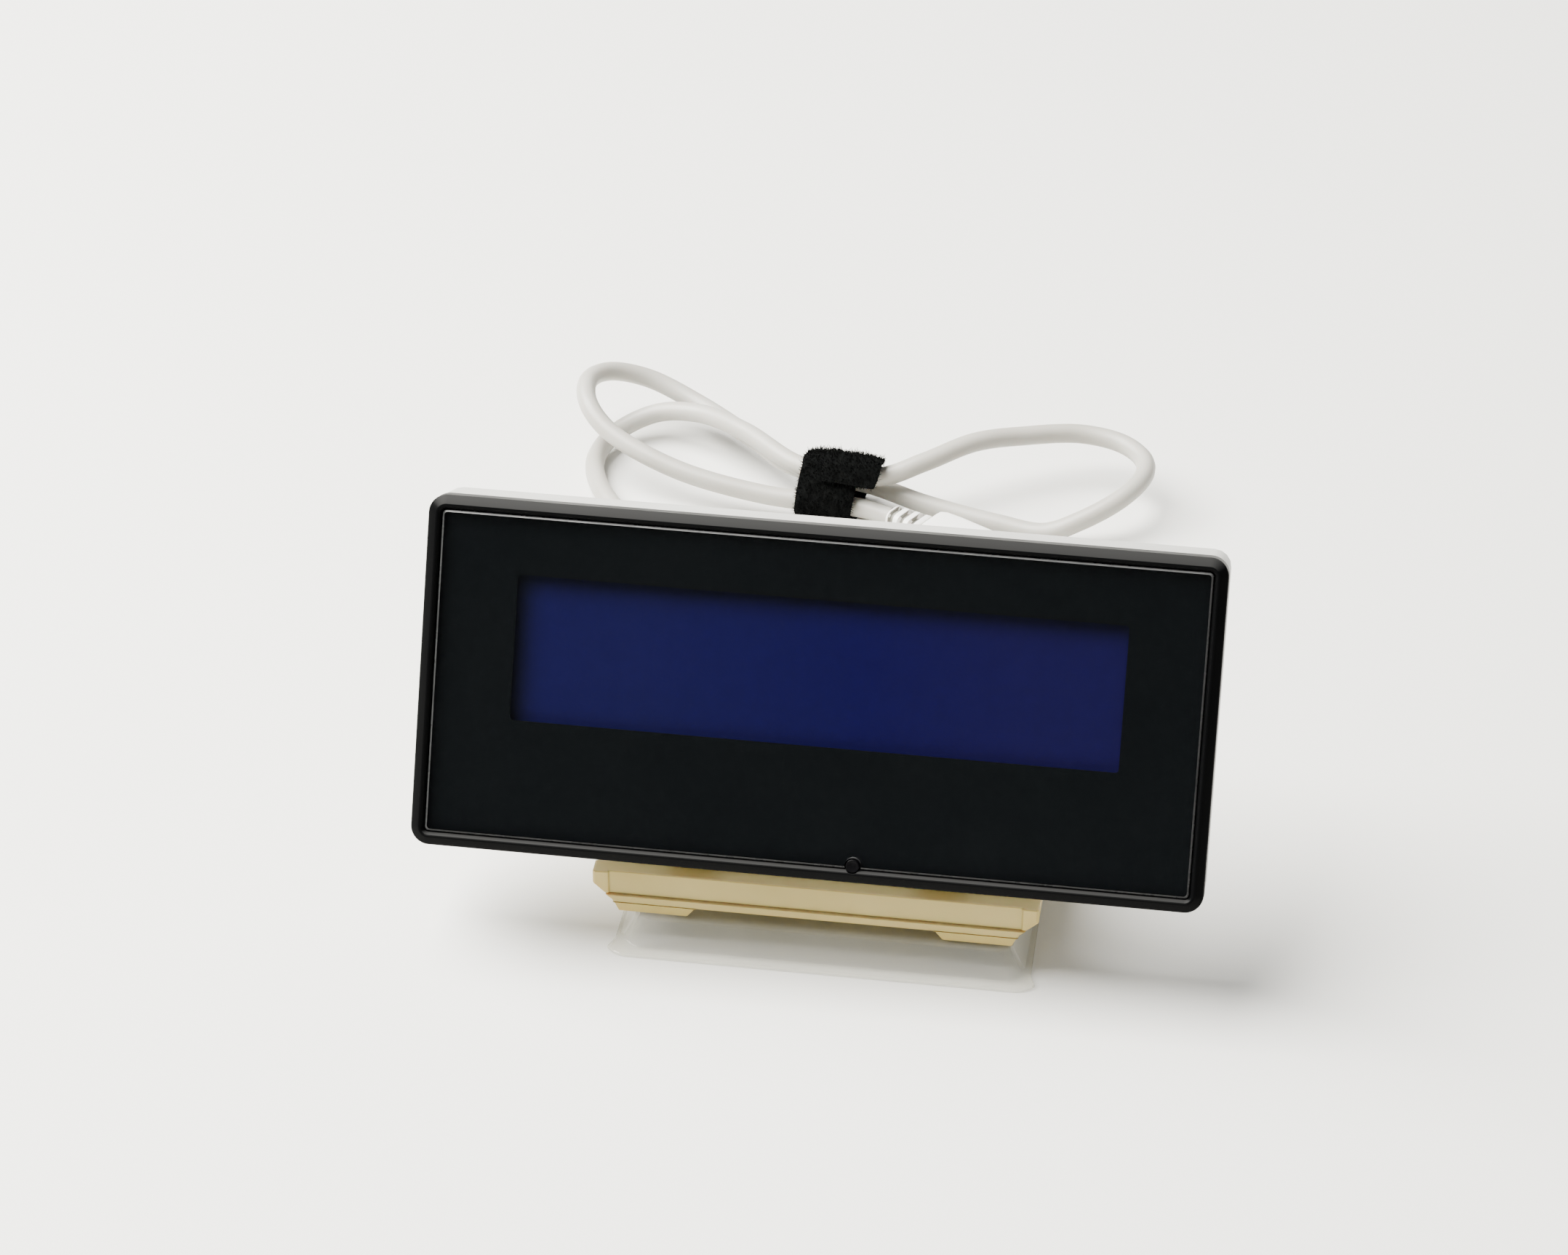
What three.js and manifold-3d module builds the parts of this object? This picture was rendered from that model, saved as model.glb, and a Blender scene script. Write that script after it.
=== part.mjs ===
// Customer display on a short tilting stand, with its tied-up lead.
// Millimetres, +X to the reader's right, -Y to the reader, +Z up, floor at z = 0.
import * as THREE from "three";
import { mergeVertices, toCreasedNormals } from "three/addons/utils/BufferGeometryUtils.js";
import Module from "manifold-3d";

const wasm = await Module();
wasm.setup();

// ---------- driving dimensions ----------
const FACE_W = 190; // front frame, width
const FACE_H = 84.5; // front frame, height
const CORNER_R = 4.5; // front frame, outer corners
const FRAME_D = 6; // front frame, depth
const HEAD_D = 26; // face to the back of the cover
const TILT = 26; // lean of the face from vertical, degrees, at rest
const FACE_Y = -42; // bottom edge of the face, depth in the part's frame
const FACE_Z = 29; // bottom edge of the face, height above the floor
const VIEW_W = 145.5; // visible window of the display glass
const VIEW_H = 35;
const VIEW_V = 49.2; // its middle above the bottom edge of the face
const PIVOT_W = 16; // tilt axis behind the face
const PIVOT_V = 9; // and above the bottom edge of the face
const STAND_X = 2; // middle of the stand, as the head sits on it
const STAND_W = 108; // width of the stand
const EAR_X = 30; // middle of each hinge ear from the stand's middle
const EAR_W = 10;
const RISER_TOP = 7.8; // height of the clear tray under the stand
const SEAM_Z = 13.3; // joint between the stand's two shells
const CORD_D = 5.3; // jacket of the lead
const TIE_W = 16; // strap round the bundled lead
const TIE_THICK = 1.2;

const rad = (d) => (d * Math.PI) / 180;
const MID_V = FACE_H / 2;
const pivot = {
  y: FACE_Y + PIVOT_V * Math.sin(rad(TILT)) + PIVOT_W * Math.cos(rad(TILT)),
  z: FACE_Z + PIVOT_V * Math.cos(rad(TILT)) - PIVOT_W * Math.sin(rad(TILT)),
};

// ---------- helpers ----------
const group = new THREE.Group();
group.name = "customer_display";

// Outline of a rounded rectangle, counter-clockwise, always 4 * (n + 1) points.
function roundedOutline(ha, hb, r, n) {
  const pts = [];
  for (const [sa, sb, a0] of [[1, 1, 0], [-1, 1, 90], [-1, -1, 180], [1, -1, 270]])
    for (let i = 0; i <= n; i++) {
      const a = rad(a0 + (90 * i) / n);
      pts.push([sa * (ha - r) + r * Math.cos(a), sb * (hb - r) + r * Math.sin(a)]);
    }
  return pts;
}

// Closed body through sections [halfA, halfB, radius, height, centreA, centreB].
// ring joins the last section to the first; otherwise both ends are capped.
function loft(sections, { ring = false, up = "y", n = 3 } = {}) {
  const per = 4 * (n + 1);
  const place = (a, b, h) => (up === "y" ? [a, h, b] : [a, b, h]);
  const pos = [];
  const idx = [];
  for (const [ha, hb, r, h, ca = 0, cb = 0] of sections)
    for (const [a, b] of roundedOutline(ha, hb, r, n)) pos.push(...place(a + ca, b + cb, h));
  const rows = sections.length;
  for (let s = 0; s < (ring ? rows : rows - 1); s++)
    for (let i = 0; i < per; i++) {
      const j = (i + 1) % per;
      const p = s * per;
      const q = ((s + 1) % rows) * per;
      idx.push(p + i, p + j, q + j, p + i, q + j, q + i);
    }
  if (!ring)
    for (const [s, flip] of [[0, true], [rows - 1, false]]) {
      const [, , , h, ca = 0, cb = 0] = sections[s];
      const c = pos.length / 3;
      pos.push(...place(ca, cb, h));
      for (let i = 0; i < per; i++) {
        const a = s * per + i;
        const b = s * per + ((i + 1) % per);
        flip ? idx.push(c, b, a) : idx.push(c, a, b);
      }
    }
  const g = new THREE.BufferGeometry();
  g.setAttribute("position", new THREE.Float32BufferAttribute(pos, 3));
  g.setIndex(idx);
  return outward(g);
}

// Turns the faces round if the body's signed volume is negative.
function outward(g) {
  const p = g.attributes.position;
  const t = g.index.array;
  const v = [new THREE.Vector3(), new THREE.Vector3(), new THREE.Vector3()];
  let volume = 0;
  for (let i = 0; i < t.length; i += 3) {
    for (let k = 0; k < 3; k++) v[k].fromBufferAttribute(p, t[i + k]);
    volume += v[0].dot(v[1].cross(v[2]));
  }
  if (volume < 0) for (let i = 0; i < t.length; i += 3) [t[i + 1], t[i + 2]] = [t[i + 2], t[i + 1]];
  return g;
}

function solid(g) {
  const bare = new THREE.BufferGeometry();
  bare.setAttribute("position", g.attributes.position.clone());
  bare.setIndex(g.index ? g.index.clone() : null);
  const m = mergeVertices(bare, 1e-4);
  return new wasm.Manifold(
    new wasm.Mesh({
      numProp: 3,
      vertProperties: new Float32Array(m.attributes.position.array),
      triVerts: new Uint32Array(m.index.array),
    }),
  );
}

function geometryOf(s) {
  const m = s.getMesh();
  const g = new THREE.BufferGeometry();
  g.setAttribute("position", new THREE.Float32BufferAttribute(m.vertProperties, 3));
  g.setIndex(Array.from(m.triVerts));
  return g;
}

const join = (...gs) => geometryOf(wasm.Manifold.union(gs.map(solid)));
const cut = (g, ...tools) => geometryOf(solid(g).subtract(wasm.Manifold.union(tools.map(solid))));

const box = (x0, x1, y0, y1, z0, z1) =>
  new THREE.BoxGeometry(x1 - x0, y1 - y0, z1 - z0).translate(
    (x0 + x1) / 2, (y0 + y1) / 2, (z0 + z1) / 2);
const rodX = (x0, x1, y, z, r, n = 20) =>
  new THREE.CylinderGeometry(r, r, x1 - x0, n).rotateZ(rad(90)).translate((x0 + x1) / 2, y, z);
const rodY = (x, y0, y1, z, r, n = 16) =>
  new THREE.CylinderGeometry(r, r, y1 - y0, n).translate(x, (y0 + y1) / 2, z);
const rodZ = (x, y, z0, z1, r, n = 16) =>
  new THREE.CylinderGeometry(r, r, z1 - z0, n).rotateX(rad(90)).translate(x, y, (z0 + z1) / 2);

// A polygon in X-Z pushed along Y, and one in Y-Z pushed along X.
function slabY(points, y0, y1, bevel = 0) {
  const shape = new THREE.Shape(points.map(([x, z]) => new THREE.Vector2(x, z)));
  return new THREE.ExtrudeGeometry(shape, {
    depth: y1 - y0 - 2 * bevel, bevelEnabled: bevel > 0, bevelSize: bevel,
    bevelThickness: bevel, bevelOffset: -bevel, bevelSegments: 2,
  }).translate(0, 0, bevel).rotateX(rad(90)).translate(0, y1, 0);
}
function slabX(points, x0, x1) {
  const shape = new THREE.Shape(points.map(([y, z]) => new THREE.Vector2(y, z)));
  return new THREE.ExtrudeGeometry(shape, { depth: x1 - x0, bevelEnabled: false })
    .rotateX(rad(90)).rotateZ(rad(90)).translate(x0, 0, 0);
}

// A screw along +Y: head at its -Y end, or at its +Y end when flipped.
function screwY(x, z, y0, y1, rHead, hHead, rShank, flipped) {
  const [h0, h1, s0, s1] = flipped ? [y1 - hHead, y1, y0, y1 - 0.1] : [y0, y0 + hHead, y0 + 0.1, y1];
  const slotY = flipped ? [y1 - 0.5, y1 + 1] : [y0 - 1, y0 + 0.5];
  return cut(
    join(rodY(x, h0, h1, z, rHead, 14), rodY(x, s0, s1, z, rShank, 10)),
    box(x - rHead * 0.6, x + rHead * 0.6, ...slotY, z - 0.25, z + 0.25),
    box(x - 0.25, x + 0.25, ...slotY, z - rHead * 0.6, z + rHead * 0.6),
  );
}

const toWorld = new THREE.Matrix4()
  .makeTranslation(0, FACE_Y, FACE_Z)
  .multiply(new THREE.Matrix4().makeRotationX(rad(-TILT)));

function add(name, geometry, colour, rough = 0.5, metal = 0, extra = {}) {
  const g = toCreasedNormals(geometry, rad(35));
  const material = new THREE.MeshStandardMaterial({
    color: colour, roughness: rough, metalness: metal, ...extra });
  const mesh = new THREE.Mesh(g, material);
  mesh.name = name;
  group.add(mesh);
}
// Head pieces are drawn flat: x across, y = depth behind the face, z up the face.
const addHead = (name, geometry, ...look) => add(name, geometry.applyMatrix4(toWorld), ...look);

// ---------- head: front ----------
const inset = (s, y, rMin = 0.8) =>
  [FACE_W / 2 - s, MID_V - s, Math.max(CORNER_R - s, rMin), y, 0, MID_V];

const LENS = { x: 11.8, v: 4.15, r: 1.6 };
addHead("front_frame", cut(
  loft([inset(0, FRAME_D), inset(0, 1.3), inset(0.25, 0.6), inset(0.8, 0.12), inset(1.3, 0),
    inset(2.3, 0), inset(2.9, 0.5), inset(3.2, 0.9), inset(3.2, 2.7), inset(6, 2.7),
    inset(6, FRAME_D)], { ring: true, n: 4 }),
  rodY(LENS.x, -1, 7, LENS.v, LENS.r + 0.2),
  ...[-80, 80].flatMap((x) => [4.4, FACE_H - 4.4].map((v) => rodY(x, 3.4, 7, v, 1.3, 12))),
), 0x17191b, 0.38);

addHead("front_window", cut(
  loft([inset(4.0, 0.7), inset(3.5, 1.15), inset(3.5, 2.4)], { n: 2 }),
  rodY(LENS.x, 0, 3, LENS.v, LENS.r + 0.35),
), 0x15181c, 0.08, 0, { transparent: true, opacity: 0.35 });

addHead("window_mask", loft([
  inset(6.3, 2.75), inset(6.3, 3.05),
  [VIEW_W / 2, VIEW_H / 2, 0.8, 3.05, 0, VIEW_V], [VIEW_W / 2, VIEW_H / 2, 0.8, 2.75, 0, VIEW_V],
], { ring: true, n: 2 }), 0x08090b, 0.6);

addHead("status_lens", rodY(LENS.x, 0.35, 5.6, LENS.v, LENS.r, 20), 0x0d0d10, 0.15);

// ---------- head: display module ----------
const view = (ha, hb, y, r = 0.5) => [ha, hb, r, y, 0, VIEW_V];
addHead("display_bezel", loft([view(80, 24, 8.3), view(80, 24, 3.4), view(74.5, 19.3, 3.4),
  view(74.5, 19.3, 3.9), view(79.3, 23.3, 3.9), view(79.3, 23.3, 8.3)], { ring: true, n: 2 }),
0x1c1d1f, 0.45, 0.6);
addHead("display_glass", loft([view(78.8, 22.8, 4.2), view(78.8, 22.8, 6.2)], { n: 1 }),
  0x1b1a6a, 0.15);
addHead("display_backlight", loft([view(78.8, 22.8, 6.5), view(78.8, 22.8, 8.2)], { n: 1 }),
  0xe6e8ee, 0.5);

const DISPLAY_SCREWS = [-84.2, 84.2].flatMap((x) => [VIEW_V - 20, VIEW_V + 20].map((v) => [x, v]));
addHead("display_chassis", cut(
  loft([inset(6.6, 3.4), inset(6.6, 8.4), view(80.5, 24.5, 8.4, 0.6), view(80.5, 24.5, 3.4, 0.6)],
    { ring: true, n: 2 }),
  ...DISPLAY_SCREWS.map(([x, v]) => rodY(x, 4.4, 9, v, 1.4, 12)),
), 0x222326, 0.6);
addHead("display_board", cut(
  loft([view(87, 27.5, 8.7, 1.5), view(87, 27.5, 10.3, 1.5)], { n: 2 }),
  ...DISPLAY_SCREWS.map(([x, v]) => rodY(x, 8, 11, v, 1.5, 12)),
), 0x1d5a34, 0.5);
DISPLAY_SCREWS.forEach(([x, v], i) =>
  addHead(`display_screw_${i + 1}`, screwY(x, v, 4.8, 12, 2.3, 1.5, 1.1, true), 0xb9bcc0, 0.35, 1));

// ---------- head: electronics ----------
const BOARD_POSTS = [-54, 54].flatMap((x) => [33, 70].map((v) => [x, v]));
addHead("main_board", cut(
  loft([[60, 23, 1.5, 14, 0, 51.5], [60, 23, 1.5, 15.6, 0, 51.5]], { n: 2 }),
  ...BOARD_POSTS.map(([x, v]) => rodY(x, 13, 17, v, 1.5, 12)),
), 0x1d5a34, 0.5);
BOARD_POSTS.forEach(([x, v], i) =>
  addHead(`board_screw_${i + 1}`, screwY(x, v, 12.4, 19.4, 2.3, 1.4, 1.1, false), 0xb9bcc0, 0.35, 1));
addHead("board_header", box(-22, 22, 10.5, 13.8, 66, 71), 0x141414, 0.6);
addHead("controller_chip", box(-28, -12, 15.8, 17.4, 44, 60), 0x111214, 0.55);
addHead("driver_chip", box(14, 24, 15.8, 17.2, 46, 56), 0x111214, 0.55);
addHead("lead_socket", box(-8, 8, 15.8, 20.6, 30, 36), 0xefeee8, 0.5);

// ---------- head: rear cover ----------
const COVER_SCREWS = [-80, 80].flatMap((x) => [4.4, FACE_H - 4.4].map((v) => [x, v]));
const earSide = (s, a, b) => (s > 0 ? [STAND_X + a, STAND_X + b] : [STAND_X - b, STAND_X - a]);
const coverShell = loft([inset(4.6, HEAD_D, 2), inset(2.6, 25.3, 2), inset(1.1, 23.6, 2),
  inset(0.35, 21), inset(0.15, FRAME_D + 0.3), inset(2.45, FRAME_D + 0.3, 1.6),
  inset(2.8, 21, 1.6), inset(4.0, 23.2, 1.6), inset(5.6, 24, 1.6)], { n: 4 });
const vents = [];
for (let i = 0; i < 9; i++)
  vents.push(loft([[1.1, 8, 1.05, 22, -48 + 12 * i, 66], [1.1, 8, 1.05, 28, -48 + 12 * i, 66]],
    { n: 2 }));
addHead("rear_cover", cut(
  join(coverShell,
    ...COVER_SCREWS.map(([x, v]) => rodY(x, 8.7, 25, v, 3.0, 14)),
    ...BOARD_POSTS.map(([x, v]) => rodY(x, 15.9, 24.5, v, 3.0, 14))),
  ...COVER_SCREWS.flatMap(([x, v]) => [rodY(x, 20.2, 28, v, 2.2, 14), rodY(x, 5, 21, v, 1.4, 12)]),
  ...BOARD_POSTS.map(([x, v]) => rodY(x, 15, 20.4, v, 1.4, 12)),
  ...[-1, 1].map((s) => box(...earSide(s, EAR_X - 5.6, EAR_X + 5.6), 9.2, 30, -2, 15.8)),
  ...[-1, 1].map((s) => rodY(STAND_X + s * 43.5, 22, 25.4, 17.5, 1.3, 12)),
  ...vents,
), 0xeeece6, 0.45);
COVER_SCREWS.forEach(([x, v], i) =>
  addHead(`cover_screw_${i + 1}`, screwY(x, v, 3.9, 22, 1.9, 1.5, 1.0, true), 0xb9bcc0, 0.35, 1));

// ---------- hinge ----------
for (const [side, s] of [["left", -1], ["right", 1]]) {
  addHead(`hinge_bracket_${side}`, cut(
    join(box(...earSide(s, 36.8, 38.3), 12, 23.6, 5.8, 22), box(...earSide(s, 37.5, 48), 22.1, 23.6, 13, 22)),
    rodX(...earSide(s, 36, 39), PIVOT_W, PIVOT_V, 2.3),
    rodY(STAND_X + s * 43.5, 21, 25, 17.5, 1.4, 12),
  ), 0xa9acb0, 0.35, 1);
  addHead(`bracket_screw_${side}`,
    screwY(STAND_X + s * 43.5, 17.5, 20.4, 25.1, 2.3, 1.4, 1.0, false), 0xb9bcc0, 0.35, 1);
  add(`spring_washer_${side}`, cut(rodX(...earSide(s, 38.6, 39.5), pivot.y, pivot.z, 4),
    rodX(...earSide(s, 38, 40), pivot.y, pivot.z, 2.3)), 0xc2c5c8, 0.3, 1);
  add(`hinge_nut_${side}`, cut(rodX(...earSide(s, 39.8, 42), pivot.y, pivot.z, 3.8, 6),
    rodX(...earSide(s, 39, 43), pivot.y, pivot.z, 2.3)), 0xb9bcc0, 0.35, 1);
}
add("hinge_shaft", rodX(STAND_X - 43, STAND_X + 43, pivot.y, pivot.z, 2), 0xc2c5c8, 0.25, 1);

// ---------- stand ----------
const SX = STAND_X;
const half = STAND_W / 2;
const FRONT = -34; // front and rear walls of the stand
const REAR = 36;
const profile = (pts) => [...pts.map(([x, z]) => [SX + x, z]),
  ...pts.slice().reverse().map(([x, z]) => [SX - x, z])];
const upperOutline = profile([[51.2, SEAM_Z + 0.1], [half, 16], [half, 22.2], [half - 0.8, 23]]);
const ear = (s) => {
  const pts = [];
  for (let i = 0; i <= 14; i++) {
    const a = rad(180 - (180 * i) / 14);
    pts.push([pivot.y + 6 * Math.cos(a), pivot.z + 6 * Math.sin(a)]);
  }
  return slabX([[pivot.y - 5.2, 16.4], ...pts, [pivot.y + 8, 16.4]], ...earSide(s, EAR_X - 5, EAR_X + 5));
};
const STAND_SCREWS = [-22, 22].flatMap((x) => [-24, 26].map((y) => [SX + x, y]));
const CORD_EXIT = new THREE.Vector3(SX, 48.8, 17.6);
const shell = cut(
  slabY(upperOutline, FRONT, REAR, 0.6),
  slabX([[-40, 26], [-40, 20], [-29.4, 20], [-28.4, 17.5], [-12, 17.5], [-6, 23], [-6, 26]],
    SX - 60, SX + 60),
  box(SX - 50, SX + 50, -40, FRONT + 0.7, 10, 21),
  box(SX - 48.4, SX + 48.4, -30.6, 33.4, 10, 15.2),
  box(SX - 51, SX + 51, -3, 33.4, 14.6, 20.7),
);
add("stand_base", cut(
  join(shell, ear(-1), ear(1), ...STAND_SCREWS.map(([x, y]) => rodZ(x, y, 13.6, y < 0 ? 16.4 : 21.6, 3.2))),
  rodX(SX - 60, SX + 60, pivot.y, pivot.z, 2.3),
  ...STAND_SCREWS.map(([x, y]) => rodZ(x, y, 12, 16.6, 1.3, 12)),
  rodY(CORD_EXIT.x, 30, 40, CORD_EXIT.z, 3.0, 20),
), 0xd8cb9d, 0.5);

const foot = (s, y0, y1) => {
  const pts = [[49, 11.4], [47.7, 8.6], [31, 8.6], [28.8, 11.4]].map(([x, z]) => [SX + s * x, z]);
  return slabY(s > 0 ? pts : pts.reverse(), y0, y1);
};
add("stand_tray", cut(
  join(slabY(profile([[49, 11], [49.4, 11.9], [50.9, SEAM_Z - 0.1]]), FRONT - 0.1, REAR, 0.3),
    foot(-1, FRONT, -20), foot(1, FRONT, -20), foot(-1, 22, REAR - 0.2), foot(1, 22, REAR - 0.2)),
  ...STAND_SCREWS.flatMap(([x, y]) => [rodZ(x, y, 10, 14, 1.4, 12), rodZ(x, y, 10, 12.1, 2.6)]),
), 0xd8cb9d, 0.5);
STAND_SCREWS.forEach(([x, y], i) => add(`stand_screw_${i + 1}`,
  join(rodZ(x, y, 11.1, 12.0, 2.2, 14), rodZ(x, y, 11.9, 16, 1.0, 10)), 0xb9bcc0, 0.35, 1));

let padNo = 0;
for (const s of [-1, 1])
  for (const y of [-27, 29])
    add(`foot_pad_${++padNo}`, loft([[6.8, 5.2, 1, 8.0, SX + s * 39.4, y], [6.8, 5.2, 1, 8.5, SX + s * 39.4, y]],
      { up: "z", n: 2 }), 0x2a2824, 0.9);

// ---------- clear tray under the stand ----------
const tray = (ha, hb, r, z) => [ha, hb, r, z, SX + 2, 0.4];
add("clear_riser", loft([
  tray(44.6, 34.4, 3.2, RISER_TOP - 0.8), tray(45.4, 35.2, 3.6, RISER_TOP - 1.6),
  tray(48.6, 37.4, 4.4, 0), tray(53, 41.1, 6, 0), tray(53, 41.1, 6, 0.7), tray(49.8, 38.4, 5.2, 0.7),
  tray(46.4, 36.1, 4.2, RISER_TOP - 0.8), tray(45.6, 35.3, 3.6, RISER_TOP),
], { up: "z", n: 3 }), 0xdfe3e2, 0.1, 0, { transparent: true, opacity: 0.4 });

// ---------- lead ----------
const lathe = [[0, 31], [2.7, 31], [2.7, 36.3], [4.6, 36.3], [4.6, 38.2], [3.7, 39.2], [3.2, 48.3], [0, 48.3]]
  .map(([r, y]) => new THREE.Vector2(r, y));
add("cable_gland", new THREE.LatheGeometry(lathe, 18).translate(CORD_EXIT.x, 0, CORD_EXIT.z), 0xe9e7e0, 0.55);

const PLUG_START = new THREE.Vector3(-3.6, 153.8, 5.3);
const PLUG_TURN = rad(-30);
const plugAt = (g) => g.rotateZ(PLUG_TURN).translate(PLUG_START.x, PLUG_START.y, PLUG_START.z);
const route = [
  // out of the stand, then hidden behind the head
  [2, 48.8, 17.6], [1.9, 57, 17.2], [-4, 72, 10.5], [-19, 91, 4], [-68.5, 138, 3.1],
  // lower left loop, up to the tie
  [-84.5, 160, 2.9], [-88.6, 175.5, 3], [-84.6, 187.4, 4.6], [-74.6, 193.6, 7.6], [-62, 190.4, 10.6],
  [-48, 180, 12.6], [-29, 164.2, 12.6],
  // right loop, down to the floor and back to the tie
  [-8, 162.6, 12.5], [3.5, 167.9, 15], [15.9, 177.1, 16.7], [28.2, 184.7, 15.2], [43.9, 190.1, 14],
  [55.4, 187.8, 13.4], [62, 180.5, 13.2], [62.7, 172.7, 13], [57.3, 163.3, 11.1], [47.1, 157.3, 6.9],
  [37.7, 155.8, 3.3], [24.8, 158.4, 3.2], [4.8, 162.8, 4.6], [-11.7, 167, 7],
  // upper left loop and back through the tie
  [-28.4, 169.9, 7.6], [-36, 174, 7.6], [-44.5, 183, 7.3], [-64, 199, 8.5], [-78.4, 202.8, 13],
  [-88.4, 198.8, 16.8], [-93, 190, 18.8], [-91.5, 180.4, 17.5], [-84, 172, 13.9], [-64.4, 163.4, 9.1],
  [-40.5, 158.9, 6.3], [-23.5, 157.1, 6.1], [-11, 156, 6], [-4.2, 154.1, 5.3],
].map((p) => new THREE.Vector3(...p));
const centreLine = new THREE.CatmullRomCurve3(route, false, "centripetal");
centreLine.arcLengthDivisions = 2000;
const circle = new THREE.Shape();
circle.absarc(0, 0, CORD_D / 2, 0, 2 * Math.PI, false);
add("lead", new THREE.ExtrudeGeometry(circle,
  { steps: 78, curveSegments: 5, bevelEnabled: false, extrudePath: centreLine }), 0xe8e6e1, 0.5);

// Drawn in X-Y and pushed along Z, then laid so that it runs along X.
const alongX = (g) => g.applyMatrix4(new THREE.Matrix4().set(0, 0, 1, 0, 1, 0, 0, 0, 0, 1, 0, 0, 0, 0, 0, 1));

const RUNS = [[-5.8, 6.1], [5.9, 7.4], [0.4, 12.5]]; // the three runs inside the strap: y and z
const TIE_AT = [-21, 162.6]; // middle of the strap on the floor
const TIE_TURN = rad(-8);
const TIE_INNER = 3.6; // from the middle of a run to the strap
const TIE_OUTER = TIE_INNER + TIE_THICK;
const LAP_SLIDE = 6; // the lapped end lies this far to the right

// Belt outline round the runs of the lead: an arc about each, joined by straight stretches.
function beltOutline(centres, r, n = 5) {
  const pts = [];
  centres.forEach(([a, b], i) => {
    const [pa, pb] = centres.at(i - 1);
    const [na, nb] = centres[(i + 1) % centres.length];
    const from = Math.atan2(b - pb, a - pa) - rad(90);
    const turn = (Math.atan2(nb - b, na - a) - rad(90) - from + rad(720)) % rad(360);
    for (let k = 0; k <= n; k++) {
      const t = from + (turn * k) / n;
      pts.push(new THREE.Vector2(a + r * Math.cos(t), b + r * Math.sin(t)));
    }
  });
  return pts;
}
function belt(inner, outer, x0, x1) {
  const shape = new THREE.Shape(beltOutline(RUNS, outer));
  shape.holes.push(new THREE.Path(beltOutline(RUNS, inner)));
  const g = new THREE.ExtrudeGeometry(shape, { depth: x1 - x0, bevelEnabled: false }).translate(0, 0, x0);
  return alongX(g);
}
const lap = cut(
  belt(TIE_OUTER - 0.2, TIE_OUTER + TIE_THICK + 0.1, LAP_SLIDE - TIE_W / 2, LAP_SLIDE + TIE_W / 2),
  box(-20, 20, -20, 20, -5, 9.5), box(-20, 20, -20, -5.8, 0, 20));
add("cable_tie", join(belt(TIE_INNER, TIE_OUTER, -TIE_W / 2, TIE_W / 2), lap)
  .rotateZ(TIE_TURN).translate(...TIE_AT, 0), 0x08080a, 0.95);

const reliefSlots = [1.8, 5.2, 8.6].map((x) =>
  cut(box(x - 0.65, x + 0.65, -6, 6, -6, 6), rodX(x - 1, x + 1, 0, 0, 2.3, 12)));
add("plug_relief", plugAt(cut(alongX(loft([[2.9, 2.9, 1.9, 0], [3.3, 3.2, 1.9, 0.6], [4.2, 3.6, 1.9, 11]],
  { up: "z", n: 3 })), ...reliefSlots)), 0xe9e7e0, 0.55);
add("plug_body", plugAt(alongX(loft([[6.2, 3.2, 1.2, 11.2], [7.6, 3.9, 1.8, 13.6], [8, 4.2, 1.8, 20],
  [7.8, 4.1, 1.8, 33], [7.2, 3.7, 1.5, 34]], { up: "z", n: 3 }))), 0xf2f1ed, 0.45);
add("plug_shell", plugAt(alongX(loft([[6, 2.25, 0.6, 34.3], [6, 2.25, 0.6, 46], [5.7, 1.95, 0.4, 46],
  [5.7, 1.95, 0.4, 34.3]], { ring: true, up: "z", n: 2 }))), 0xc9ccd0, 0.25, 1);
add("plug_insulator", plugAt(box(34.3, 45.2, -5.4, 5.4, -1.65, 0.1)), 0xf4f4f2, 0.6);

export default group;
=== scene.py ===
"""Customer display on a short tilting stand: looks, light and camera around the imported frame."""
import math
import random
import bmesh
import bpy
from mathutils import Matrix, Vector, noise


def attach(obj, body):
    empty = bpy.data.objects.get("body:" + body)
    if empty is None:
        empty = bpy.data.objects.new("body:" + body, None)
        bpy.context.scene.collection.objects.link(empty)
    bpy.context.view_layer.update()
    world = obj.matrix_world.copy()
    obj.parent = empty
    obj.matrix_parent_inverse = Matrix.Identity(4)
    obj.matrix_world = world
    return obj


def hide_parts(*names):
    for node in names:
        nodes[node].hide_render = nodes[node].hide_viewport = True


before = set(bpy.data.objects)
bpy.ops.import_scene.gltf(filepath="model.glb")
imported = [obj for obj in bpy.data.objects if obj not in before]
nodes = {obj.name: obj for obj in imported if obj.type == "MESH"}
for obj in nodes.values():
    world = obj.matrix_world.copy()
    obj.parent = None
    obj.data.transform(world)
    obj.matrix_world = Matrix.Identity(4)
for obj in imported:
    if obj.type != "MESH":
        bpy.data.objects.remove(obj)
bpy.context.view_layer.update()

# ---------- driving dimensions, in metres ----------
MM = 0.001
SAME_FLAT = math.radians(0.6)
FACE_W, FACE_H, CORNER_R = 190 * MM, 84.5 * MM, 4.5 * MM
TILT = math.radians(26)
FACE_Y, FACE_Z = -42 * MM, 29 * MM
VIEW_W, VIEW_H, VIEW_V = 145.5 * MM, 35 * MM, 49.2 * MM
CELLS_W, CELLS_H = 118 * MM, 20 * MM
PRINT_DEPTHS = (2.45, 2.6)
LENS_X, LENS_V, LENS_R = 11.8 * MM, 4.15 * MM, 1.6 * MM
FRAME_PLAY, SHEET_PLAY = 0.2 * MM, 0.35 * MM  # room round the lens in the frame and in the window
STAND_X = 2 * MM
SEAM_Z = 13.3 * MM
RISER_X, RISER_HALF = STAND_X + 2 * MM, 53 * MM
RISER_FRONT, RISER_FADE, RISER_TAPER = -41 * MM, 9 * MM, 3.4 * MM
CORD_D, CORD_LENGTH = 5.3 * MM, 0.647
CORD_EXIT = (STAND_X, 48.8 * MM, 17.6 * MM)

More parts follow.
